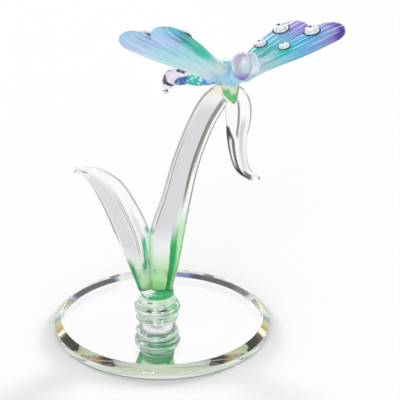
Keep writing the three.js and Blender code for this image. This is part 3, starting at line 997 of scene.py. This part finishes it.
def make_foot(seam):
    """The wound rings and the collar above them are turned outlines with a helical ripple.

    A mesh ends with its bottom fan and its top fan. Where rings and collar meet, the fans are the seam.
    """
    base = FOOT_CENTRE + UPWARD * MIRROR_TOP
    points, fields = turned(through_rows(FOOT_RINGS, np.linspace(0, 1, RING_ROWS)), ripple=wound(0.0))
    rings = formed(
        "foot_rings", points + base, fields, [rings_finish(), seam],
        "clear_glass", "foot_ring_lower", "foot_ring_upper")
    mark_second(rings, slice(-ROUND_SIDES, None))
    points, fields = turned(through_rows(NECK, np.linspace(0, 1, COLLAR_ROWS)), ripple=wound(2.0))
    looks = [collar_finish(), seam]
    collar = formed("foot_collar", points + base, fields, looks, "green_tint", "foot_neck")
    mark_second(collar, slice(-2 * ROUND_SIDES, -ROUND_SIDES))
    low, high = FILM_CLEARANCE, GLUE_THICKNESS - FILM_CLEARANCE
    points, fields = turned(np.array([[GLUE_RADIUS, low], [GLUE_RADIUS, high]]))
    formed("glue_film", points + base, fields, [glue_finish()], "glue", "foot_glue")


def make_plant():
    """The blade, the leaves and the bud are swept sections, and the drop on the side leaf is a ball."""
    blade = sweep(MAIN_BLADE, FRONT, squareness=BLADE_SQUARENESS)
    formed("bent_blade", *blade, [blade_finish()], "clear_glass", "main_blade")
    leaf = sweep(SIDE_LEAF, FRONT, fold=LEAF_FOLD)
    side_glass = side_leaf_finish()
    formed("upright_leaf", *leaf, [side_glass], "clear_glass", "side_leaf")
    points, fields = orb(SIDE_LEAF_DROP)
    formed("leaf_drop", points + SIDE_LEAF_TIP, fields, [side_glass], "clear_glass", "side_leaf_tip")
    hanging = sweep(DROOPING_LEAF, FRONT, fold=LEAF_FOLD, ends=(0.0, LEAF_TIP_ROUND))
    formed("hanging_leaf", *hanging, [hanging_leaf_finish()], "clear_glass", "drooping_leaf")
    bud = sweep(GREEN_SADDLE, FRONT, ends=(0.0, BUD_TIP_ROUND))
    formed("green_bud", *bud, [saddle_finish()], "green_glass", "green_saddle")


BODY_TURN = turn("z", HEADING) @ turn("x", -NOSE_UP) @ turn("y", ROLL)


def on_body(points):
    """Points of the dragonfly's own frame, in the shared frame."""
    return placed(points, BODY_TURN, BODY_PLACE)


def make_body(seam):
    """The body bead and the two lobes of the head are ellipsoids.

    A lobe is pressed at the head's middle plane: a point's distance from it, d, becomes
    crease * log(1 + exp(d / crease)), which flattens what lies past the plane. That flat is the seam.
    """
    points, fields = orb(THORAX_SIZE)
    formed("body_bead", on_body(points), fields, [thorax_finish()], "thorax_glass", "thorax")
    looks = [head_finish(), seam]
    for name, side in (("right", 1), ("left", -1)):
        points, fields = orb(EYE_SIZES[name])
        points += (side * EYE_OFFSET, 0.0, EYE_RISES[name])
        fields["along"] = EYE_PALENESS[name] + (1 - EYE_PALENESS[name]) * fields["along"]
        out = side * points[..., 0] / EYE_CREASE
        points[..., 0] = side * EYE_CREASE * np.logaddexp(0, out)
        points = placed(points, turn("z", HEAD_TURN), HEAD_PLACE)
        lobe = formed(f"head_lobe_{name}", on_body(points), fields, looks, "head_glass", f"eye_{name}")
        mark_second(lobe, np.flatnonzero(out[:-1] < EYE_SEAM_START))


def make_tail():
    """The beads are circles swept along the abdomen that narrow at their ends by a fourth power.

    The curl is a swept circle too, and the drop at its end is a ball.
    """
    blue = bead_finish("bead_blue_glass", "#1E90E8", "#BCE6FB")
    teal = bead_finish("bead_teal_glass", "#02B2A0", "#9CECDC")
    looks = ((blue, "blue_glass"), (teal, "teal_glass"), (blue, "blue_glass"))
    shares = crowded(BEAD_STATIONS)
    for number, ((material, slot), radius) in enumerate(zip(looks, ABDOMEN_RADII)):
        line = through_rows(ABDOMEN, (number + shares) / len(ABDOMEN_RADII))
        swell = radius - BEAD_WAIST * (2 * shares - 1) ** 4
        points, fields = sweep(np.column_stack([line, swell, swell]), UPWARD, rows=BEAD_ROWS)
        name, node = f"tail_bead_{number + 1}", f"abdomen_{number + 1}"
        formed(name, on_body(points), fields, [material], slot, node)
    clear = tail_finish()
    points, fields = sweep(TAIL_CURL, SIDEWAYS, ends=TAIL_CURL_ENDS)
    formed("tail_hook", on_body(points), fields, [clear], "tail_glass", "tail_curl")
    points, fields = orb(TAIL_BALL_RADIUS)
    formed("tail_drop", on_body(points + TAIL_BALL), fields, [clear], "tail_glass", "tail_ball")


def lobe_widths(x, length):
    """Half widths of a lobe at a distance from its root, outer side then inner side, and its end rounding.

    The lobe swells from its root by a smooth step, and a quarter ellipse rounds off each end. The inner
    side stops at the seam with the other lobe, which moves away with the spread.
    """
    grown = smoothstep(x, 0, LOBE_WIDEST * length)
    paddle = LOBE_ROOT_HALF_WIDTH + (LOBE_HALF_WIDTH - LOBE_ROOT_HALF_WIDTH) * grown
    into = np.clip((x - length + LOBE_END_ROUND) / LOBE_END_ROUND, 0, 1)
    start = np.clip(1 - x / ROOT_ROUND, 0, 1)
    end = np.sqrt(np.maximum(LOBE_TIP, 1 - np.maximum(into, start) ** 2))
    outer = (paddle + ROOT_FLARE * (1 - smoothstep(x, 0, ROOT_REACH))) * end
    seam = LOBE_APART + x * np.tan(np.radians(WING_SPREAD)) + SEAM_OVERLAP
    return outer, np.minimum(outer, seam), end


def lobe_surface(length, side, seed):
    """One wing lobe along +X: an ellipse section with a full rim and fine lengthwise ridges.

    The ridges are three sine waves of the lane across the lobe, which fans out from the root as the lobe
    widens, with phases from the seed. The inner edge is squarer where the seam cuts the lobe, so that the
    pair meets at nearly its full thickness.
    """
    shares = np.sin(0.5 * np.pi * np.linspace(0, 1, LOBE_ROWS))
    x = length * shares
    outer, inner, end = (values[:, None] for values in lobe_widths(x, length))
    angle = round_angles(LOBE_SIDES)[None, :]
    cosine = np.cos(angle)
    inward = cosine * side < 0
    across = np.where(inward, cosine * inner, cosine * outer)
    blunt = LOBE_RIM + SEAM_BLUNTNESS * np.maximum(0, 1 - inner / outer)
    rise = np.where(inward, squared(np.sin(angle), blunt), squared(np.sin(angle), LOBE_RIM))
    lane = across * end / outer
    phase = RIDGE_PHASE * seed
    ridges = sum(depth * np.sin(np.pi * count * lane + phase + count) for count, depth in RIDGES)
    fade = smoothstep(shares, *RIDGE_START)[:, None] * end * np.abs(np.sin(angle))
    swell = WING_HALF_THICKNESS + ROOT_SWELL * (1 - smoothstep(x, 0, ROOT_REACH))[:, None]
    lift = rise * swell * np.sqrt(end) + np.sign(np.sin(angle)) * ridges * fade
    points = np.stack(np.broadcast_arrays(x[:, None], across, lift), -1)
    fields = fields_of(shares[:, None], lane * side, np.sin(angle))
    fields["seed"] = np.full_like(lane, seed)
    return points, fields


def ring(angles, reach, height):
    """Points at equal radius and height, one for each angle."""
    return np.column_stack([reach * np.cos(angles), reach * np.sin(angles), np.full(len(angles), height)])


def crystal_mesh(name, diameter, stand, seat):
    """A cut crown over a foil-backed cup, two closed shells of flat facets.

    The crown has a girdle of sixteen corners, a step of eight, and an eight-sided table of sixteen slivers
    above it, a few of which are painted near black as reflections of dark surroundings. Triangles lead from
    the girdle to the step. The cup is a sixteen-sided disc that sinks into the wing.
    """
    radius, height = diameter / 2, diameter * CRYSTAL_HEIGHT
    many, few = CRYSTAL_SIDES, CRYSTAL_SIDES // 2
    sixteen = round_angles(many)
    eight = sixteen[1::2]
    half_side = np.pi / few
    step_height = GIRDLE_HEIGHT + (height - GIRDLE_HEIGHT) * STEP_HEIGHT
    corners = np.vstack([
        ring(sixteen, radius, FILM_CLEARANCE),
        ring(sixteen, radius, GIRDLE_HEIGHT),
        ring(eight, radius * STEP_WIDTH, step_height),
        ring(eight, radius * TABLE_WIDTH, height - TABLE_RISE),
        ring(eight + half_side, radius * TABLE_WIDTH * np.cos(half_side), height - TABLE_RISE),
        ring(sixteen, radius, -CUP_DEPTH),
        ring(sixteen, radius * CUP_RIM, 0.0),
        ring(sixteen, radius * FOIL_WIDTH, 0.0),
        [[0.0, 0.0, height]],
    ])
    k, n = np.arange(many), np.arange(few)
    after, next_one = (k + 1) % many, (n + 1) % few
    ring_sizes = [many, many, few, few, few, many, many, many]
    girdle, step, table, half, cup, rim, foil, peak = np.cumsum(ring_sizes)
    wall = np.column_stack([k, after, girdle + after, girdle + k])
    upper = np.column_stack([step + n, step + next_one, table + next_one, half + n, table + n])
    top = np.full(few, peak)
    slivers = np.column_stack([table + n, half + n, top, half + n, table + next_one, top]).reshape(-1, 3)
    middle = girdle + (2 * n + 2) % many
    first = np.column_stack([girdle + 2 * n + 1, middle, step + n])
    second = np.column_stack([middle, step + next_one, step + n])
    third = np.column_stack([middle, girdle + (2 * n + 3) % many, step + next_one])
    side = np.column_stack([cup + k, cup + after, rim + after, rim + k])
    lip = np.column_stack([rim + k, rim + after, foil + after, foil + k])
    slopes = np.vstack([slivers, first, second, third])
    crown = [*wall.tolist(), *upper.tolist(), *slopes.tolist(), k[::-1].tolist()]
    shell = [*side.tolist(), *lip.tolist(), (cup + k[::-1]).tolist()]
    mesh = bpy.data.meshes.new(name)
    mesh.from_pydata(placed(corners, stand, seat).tolist(), [], crown + shell + [(foil + k).tolist()])
    clear, dark, bright, painted_shade = range(4)
    # Painted reflections: a few table slivers are near black
    table_looks = np.where(np.isin(k, PAINTED_DARK_SLIVERS), dark, clear)
    # Painted shade on alternate upper facets and on the middle one of each three slopes
    slope_looks = np.repeat([clear, painted_shade, clear], few)
    upper_looks = np.tile([clear, painted_shade], few // 2)
    crown_looks = [np.full(many, clear), upper_looks, table_looks, slope_looks, [clear]]
    looks = np.concatenate([*crown_looks, np.full(len(shell), dark), [bright]])
    mesh.polygons.foreach_set("material_index", looks.astype(np.int32))
    return mesh


def make_wings():
    """Each pair is two lobes that fan out from the root in one plane, with two crystals on each lobe."""
    clear = crystal_finish("crystal_clear_facets", "#FFFFFF", "#F7F8FA")
    # Painted shade: a greyer copy of the facet glass, laid on alternate facets
    painted_shade = crystal_finish("crystal_painted_shade_facets", "#E6E9EC", "#D6D9DE")
    gem_finishes = [clear, near_black_finish(), foil_finish(), painted_shade]
    seed = 0
    for pair, pose in WING_PAIRS.items():
        plane = BODY_TURN @ turn("z", pose["yaw"]) @ turn("y", -pose["dihedral"])
        plane = plane @ turn("x", pose["incidence"])
        root = BODY_PLACE + BODY_TURN @ (UPWARD * WING_ROOT_RISE)
        for lobe, side in (("fore", pose["fore_side"]), ("hind", -pose["fore_side"])):
            seed += 1
            length = pose[lobe] * MM
            lie = plane @ turn("z", side * WING_SPREAD)
            origin = root + plane @ np.array([WING_ROOT, side * LOBE_APART, 0.0])
            points, fields = lobe_surface(length, side, seed)
            wing = f"{pair}_{lobe}"
            looks = [wing_finish(wing, STREAKS[pair])]
            points = placed(points, lie, origin)
            formed(f"{wing}_wing", points, fields, looks, "wing_glass", f"wing_{wing}")
            for size, (share, sideways) in CRYSTAL_PLACES[wing].items():
                seat, stand = on_lobe(length, side, share, sideways)
                name = f"{wing}_{size}_crystal"
                mesh = crystal_mesh(name, CRYSTAL_DIAMETERS[size], lie @ stand, origin + lie @ seat)
                piece(name, mesh, gem_finishes, "crystal", f"crystal_{wing}_{size}")


def on_lobe(length, side, share, sideways):
    """A spot on a lobe's top and the turn that stands a crystal square to the surface there."""
    outer, inner, end = lobe_widths(share * length, length)
    width = inner if sideways * side < 0 else outer
    lean = sideways / width
    rise = WING_HALF_THICKNESS * (1 - lean**2) ** (1 / LOBE_RIM)
    tilt = np.degrees(np.arctan(2 * lean * rise / (LOBE_RIM * width * (1 - lean**2))))
    return np.array([share * length, sideways, rise + CRYSTAL_LIFT]), turn("x", -tilt)


# Studio
FLOOR_REACH = 6.0
FLOOR_DROP = 0.05 * MM
WORLD_SHARE = 0.76
FLOOR_COLOUR = (0.84, 0.84, 0.84, 1)
LAMPS = {
    "back_right": {"azimuth": 42.0, "elevation": 22.0, "share": 0.2, "softness": 14.0},
    "back_left": {"azimuth": -42.0, "elevation": 22.0, "share": 0.15, "softness": 14.0},
    "low_front": {"azimuth": -160.0, "elevation": 10.0, "share": 0.06, "softness": 30.0},
}
BOUNCES = 40

# Dark cards that gloss meets: azimuth from +Y towards +X and its half, elevation and its half, in degrees
DARK_CARDS = (
    (18.5, 5.0, 47.0, 7.5, "#7F8CD8", "#3E423A"),
    (-8.0, 1.0, 48.0, 7.0, "#7F88D6", "#7880C8"),
    (-15.5, 4.5, 47.0, 7.5, "#8A93C8", "#3A3D3C"),
    (-24.5, 1.0, 43.0, 6.0, "#C8CCCA", "#6E7472"),
)
CARD_SOFTNESS = 3.5

# Bright softboxes that only outer gloss meets, placed in the same way, and their strength
SOFTBOXES = (
    (-160.0, 7.0, 56.0, 8.0, 24.0),
    (150.0, 5.0, 48.0, 6.0, 24.0),
    (0.0, 45.0, 20.0, 1.0, 9.0),
)


def make_floor():
    """A wide white sheet that keeps the object's shadow."""
    corner = FLOOR_REACH
    mesh = bpy.data.meshes.new("floor")
    spots = [(-corner, -corner), (corner, -corner), (corner, corner), (-corner, corner)]
    mesh.from_pydata([(x, y, -FLOOR_DROP) for x, y in spots], [], [(0, 1, 2, 3)])
    floor = bpy.data.objects.new("floor", mesh)
    bpy.context.scene.collection.objects.link(floor)
    mesh.materials.append(Finish("floor_white", roughness=0.9, base_color=FLOOR_COLOUR).material)


def make_lamps():
    """Soft distant lamps, each giving its share of the light on the floor."""
    for name, setting in LAMPS.items():
        height = np.radians(setting["elevation"])
        lamp = bpy.data.lights.new(name, "SUN")
        lamp.energy = np.pi * setting["share"] / np.sin(height)
        lamp.angle = np.radians(setting["softness"])
        thing = bpy.data.objects.new(name, lamp)
        thing.rotation_euler = (height - np.pi / 2, 0.0, -np.radians(setting["azimuth"]))
        thing.visible_glossy = False
        thing.visible_transmission = False
        bpy.context.scene.collection.objects.link(thing)


def card(sky, azimuth, elevation, place):
    """How far a direction lies on a card: 1 inside its azimuth and elevation ranges, 0 past soft edges."""
    side, half_side, level, half_level = np.radians(place)
    soft = np.radians(CARD_SOFTNESS)
    aside = sky.band(azimuth, side, half_side, soft)
    return sky.times(aside, sky.band(elevation, level, half_level, soft))


def make_world():
    """White all round for the camera and for plain light. Gloss and glass also meet the studio's cards.

    A dark card runs through a colour ramp from white over a coloured fringe to its dark, and the cards
    multiply together. The softboxes add light that only outer gloss meets.
    """
    world = bpy.data.worlds.new("studio")
    bpy.context.scene.world = world
    world.use_nodes = True
    sky = Nodes(world.node_tree)
    back = world.node_tree.nodes["Background"]
    way = sky.add("ShaderNodeTexCoord", output="Generated")
    x, y, z = (sky.add("ShaderNodeSeparateXYZ", {0: way}, output=axis) for axis in "XYZ")
    azimuth = sky.math("ARCTAN2", x, y)
    elevation = sky.math("ARCSINE", z)
    cards = (1, 1, 1, 1)
    for *place, fringe, dark in DARK_CARDS:
        depth = card(sky, azimuth, elevation, place)
        shade = sky.ramp(depth, [(0.0, "#FFFFFF"), (0.4, fringe), (0.75, dark)])
        cards = sky.mix(1.0, cards, shade, "MULTIPLY")
    path = world.node_tree.nodes.new("ShaderNodeLightPath").outputs
    shiny = sky.math("MAXIMUM", path["Is Glossy Ray"], path["Is Transmission Ray"])
    mirrored = sky.times(shiny, sky.math("GREATER_THAN", path["Glossy Depth"], 0.5))
    sky.join(back.inputs["Color"], sky.mix(mirrored, (1, 1, 1, 1), cards))
    seen = sky.math("MAXIMUM", shiny, path["Is Camera Ray"])
    plain = sky.span(seen, 0.0, 1.0, WORLD_SHARE, 1.0)
    gleam = 0.0
    for *place, strength in SOFTBOXES:
        gleam = sky.scaled(card(sky, azimuth, elevation, place), strength, gleam)
    outer = sky.math("LESS_THAN", path["Transmission Depth"], 0.5)
    outer = sky.times(outer, path["Is Glossy Ray"])
    sky.join(back.inputs["Strength"], sky.scaled(gleam, outer, plain))


def make_camera():
    """A camera at the photograph's viewing place, with its tilt and lens."""
    lens = bpy.data.cameras.new("camera")
    lens.lens = CAMERA_LENS
    lens.sensor_width = SENSOR_WIDTH
    camera = bpy.data.objects.new("camera", lens)
    camera.location = CAMERA_PLACE
    camera.rotation_euler = (np.radians(CAMERA_TILT), 0.0, 0.0)
    bpy.context.scene.collection.objects.link(camera)
    bpy.context.scene.camera = camera


make_camera()
make_mirror()
fused = seam_finish()
make_foot(fused)
make_plant()
make_body(fused)
make_tail()
make_wings()
make_floor()
make_lamps()
make_world()
bpy.context.scene.view_settings.view_transform = "Standard"
for kind in ("max_bounces", "glossy_bounces", "transmission_bounces"):
    setattr(bpy.context.scene.cycles, kind, BOUNCES)
